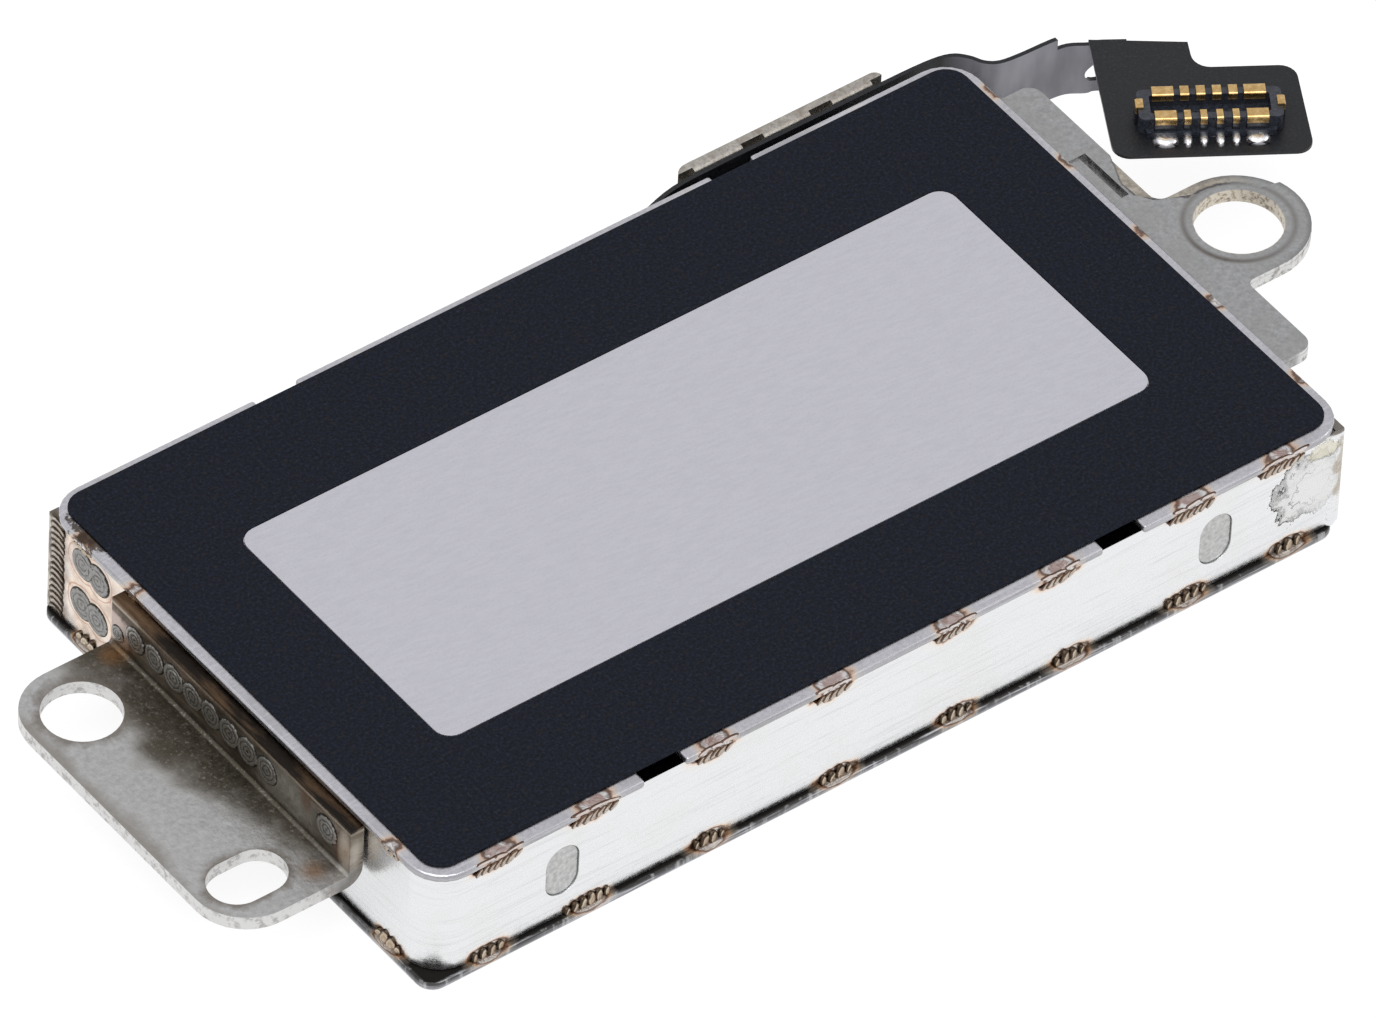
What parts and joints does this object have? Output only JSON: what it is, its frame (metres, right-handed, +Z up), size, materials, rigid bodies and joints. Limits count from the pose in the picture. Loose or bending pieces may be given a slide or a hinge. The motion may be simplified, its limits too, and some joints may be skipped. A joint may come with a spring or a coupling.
{
  "type": "linear vibration motor",
  "caption": "Flat steel-cased linear vibration motor: a sprung magnet mass sliding between coils, with welded screw brackets and a short flex cable ending in a board connector.",
  "frame": {"origin": "centre of the casing's flat underside", "axes": "+X along the casing and the mass's travel, +Y towards the side the flex cable leaves from, +Z up through the labelled cover"},
  "size_m": [0.0344, 0.015, 0.0033],
  "materials": {
    "casing_steel": "bright rolled stainless, fine grain",
    "cover_steel": "satin stainless",
    "bracket_steel": "satin stainless with heat tint near the welds",
    "label_black": "matte printed film",
    "label_silver": "satin silver print",
    "flex_black": "satin coverlay film",
    "plug_black": "moulded",
    "gold": "plated",
    "tungsten": "sintered and ground",
    "magnet_nickel": "nickel plate",
    "spring_steel": "cold rolled",
    "copper": "enamelled wire",
    "carrier_amber": "polyimide film",
    "rubber": "closed-cell foam"
  },
  "bodies": {
    "casing": {"access_plug_left": "bracket_steel", "access_plug_right": "bracket_steel", "bottom_cover": "casing_steel", "bumper_left": "rubber", "bumper_right": "rubber", "connector_housing": "plug_black", "connector_stiffener": "bracket_steel", "flex_cable": "flex_black", "label_border": "label_black", "label_window": "label_silver", "left_bracket": "bracket_steel", "lower_coil_carrier": "carrier_amber", "lower_coil_left": "copper", "lower_coil_right": "copper", "plug_anchor_left": "gold", "plug_anchor_right": "gold", "position_sensor": "plug_black", "power_contact_back_left": "gold", "power_contact_back_right": "gold", "power_contact_front_left": "gold", "power_contact_front_right": "gold", "rear_clip": "bracket_steel", "right_lug": "bracket_steel", "signal_contact_back_1": "gold", "signal_contact_back_2": "gold", "signal_contact_back_3": "gold", "signal_contact_back_4": "gold", "signal_contact_front_1": "gold", "signal_contact_front_2": "gold", "signal_contact_front_3": "gold", "signal_contact_front_4": "gold", "spring_left": "spring_steel", "spring_right": "spring_steel", "top_cover": "cover_steel", "upper_coil_carrier": "carrier_amber", "upper_coil_left": "copper", "upper_coil_right": "copper", "wall_front_left": "casing_steel", "wall_rear_right": "casing_steel"},
    "moving_mass": {"magnet_centre": "magnet_nickel", "magnet_left": "magnet_nickel", "magnet_right": "magnet_nickel", "mass_frame": "tungsten", "pole_plate_left": "casing_steel", "pole_plate_right": "casing_steel"}
  },
  "joints": [
    {"name": "mass_slide", "type": "slide", "parent": "casing", "child": "moving_mass", "axis": [1, 0, 0], "range_m": [-0.0008, 0.0008], "stiffness_N_per_m": 3500, "deforming": ["spring_left", "spring_right"]}
  ]
}
